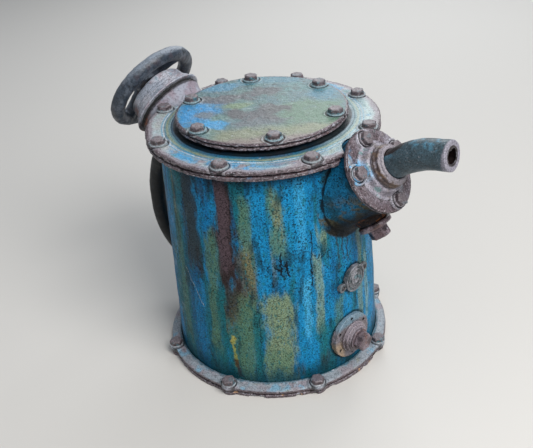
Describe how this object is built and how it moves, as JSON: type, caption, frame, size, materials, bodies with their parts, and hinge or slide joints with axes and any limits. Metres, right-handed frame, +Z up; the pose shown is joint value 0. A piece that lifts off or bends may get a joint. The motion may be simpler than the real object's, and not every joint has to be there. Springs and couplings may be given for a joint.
{
  "type": "hand well pump",
  "caption": "Flanged iron well-pump vessel with bolted lift-off lid, gooseneck spout on a sloping branch, handwheel valve, by-pass pipe handle, drain and clean-out plugs.",
  "frame": {"origin": "centre of the underside of the bottom plate, on the vessel's own axis", "axes": "+Z up along the vessel's axis, +X towards the spout, +Y to the left of someone looking along +X"},
  "size_m": [0.3263, 0.2054, 0.2515],
  "materials": {
    "blue_paint": "azure and teal paint, streaked with rust, ochre and charcoal, grainy and chalky",
    "worn_paint": "pale blue, teal and cream paint rubbed through to mauve-brown iron",
    "bare_iron": "silvery mauve-brown cast iron with small patches of blue paint",
    "rusty_iron": "mauve-brown rusted iron",
    "dark_iron": "dark slate iron, lightly worn",
    "grey_green_paint": "dark grey-green paint, grainy, with bare metal at the mouth",
    "gasket_rubber": "matt black rubber",
    "valve_brass": "dull brass",
    "stem_steel": "turned steel"
  },
  "bodies": {
    "vessel": {"body_shell": "blue_paint", "base_flange": "worn_paint", "base_gasket": "gasket_rubber", "bottom_plate": "rusty_iron", "body_flange": "worn_paint", "head_gasket": "gasket_rubber", "top_ring": "worn_paint", "ring_bolt_1": "rusty_iron", "ring_bolt_2": "rusty_iron", "ring_bolt_3": "rusty_iron", "ring_bolt_4": "rusty_iron", "ring_bolt_5": "rusty_iron", "ring_bolt_6": "rusty_iron", "ring_bolt_7": "rusty_iron", "ring_bolt_8": "rusty_iron", "base_bolt_1": "rusty_iron", "base_bolt_2": "rusty_iron", "base_bolt_3": "rusty_iron", "base_bolt_4": "rusty_iron", "base_bolt_5": "rusty_iron", "base_bolt_6": "rusty_iron", "base_bolt_7": "rusty_iron", "base_bolt_8": "rusty_iron", "outlet_flange": "bare_iron", "outlet_gasket": "gasket_rubber", "spout_tube": "grey_green_paint", "spout_collar": "bare_iron", "outlet_bolt_1": "rusty_iron", "outlet_bolt_2": "rusty_iron", "outlet_bolt_3": "rusty_iron", "outlet_bolt_4": "rusty_iron", "drain_flange": "bare_iron", "badge_plate": "bare_iron", "badge_rivet_1": "rusty_iron", "badge_rivet_2": "rusty_iron", "valve_seat": "valve_brass", "valve_gasket": "gasket_rubber", "valve_lip": "bare_iron", "valve_bonnet": "bare_iron", "valve_packing": "gasket_rubber", "gland_nut": "valve_brass", "bypass_pipe": "dark_iron"},
    "lid": {"lid_flange": "worn_paint", "lid_gasket": "gasket_rubber", "lid_cover": "worn_paint", "lid_bolt_1": "rusty_iron", "lid_bolt_2": "rusty_iron", "lid_bolt_3": "rusty_iron", "lid_bolt_4": "rusty_iron", "lid_bolt_5": "rusty_iron", "lid_bolt_6": "rusty_iron"},
    "wheel": {"handwheel": "dark_iron", "wheel_nut": "rusty_iron"},
    "stem": {"valve_stem": "stem_steel", "valve_disc": "valve_brass"},
    "drain_seal": {"drain_washer": "gasket_rubber"},
    "drain_screw": {"drain_plug": "rusty_iron"},
    "cleanout_seal": {"cleanout_washer": "bare_iron"},
    "cleanout_screw": {"cleanout_plug": "rusty_iron"}
  },
  "joints": [
    {"name": "lid_lift", "type": "slide", "parent": "vessel", "child": "lid", "axis": [0, 0, 1], "range_m": [0, 0.06]},
    {"name": "wheel_turn", "type": "hinge", "parent": "vessel", "child": "wheel", "pos_m": [-0.12742, 0, 0.2134], "axis": [-0.8231, 0, 0.5678], "range_deg": [0, 720]},
    {"name": "stem_slide", "type": "slide", "parent": "vessel", "child": "stem", "axis": [-0.8231, 0, 0.5678], "range_m": [0, 0.006]},
    {"name": "drain_slide", "type": "slide", "parent": "vessel", "child": "drain_seal", "axis": [0.9914, -0.1305, 0], "range_m": [0, 0.006]},
    {"name": "drain_turn", "type": "hinge", "parent": "drain_seal", "child": "drain_screw", "pos_m": [0.08846, -0.01165, 0.0365], "axis": [0.9914, -0.1305, 0], "range_deg": [0, 1440]},
    {"name": "cleanout_slide", "type": "slide", "parent": "vessel", "child": "cleanout_seal", "axis": [0.5693, 0, -0.8221], "range_m": [0, 0.006]},
    {"name": "cleanout_turn", "type": "hinge", "parent": "cleanout_seal", "child": "cleanout_screw", "pos_m": [0.0855, 0, 0.1752], "axis": [0.5693, 0, -0.8221], "range_deg": [0, 1440]}
  ],
  "couplings": [
    {"joint": "stem_slide", "follows": "wheel_turn", "m_per_rad": 0.000477},
    {"joint": "drain_turn", "follows": "drain_slide", "rad_per_m": 4188.8},
    {"joint": "cleanout_turn", "follows": "cleanout_slide", "rad_per_m": 4188.8}
  ]
}
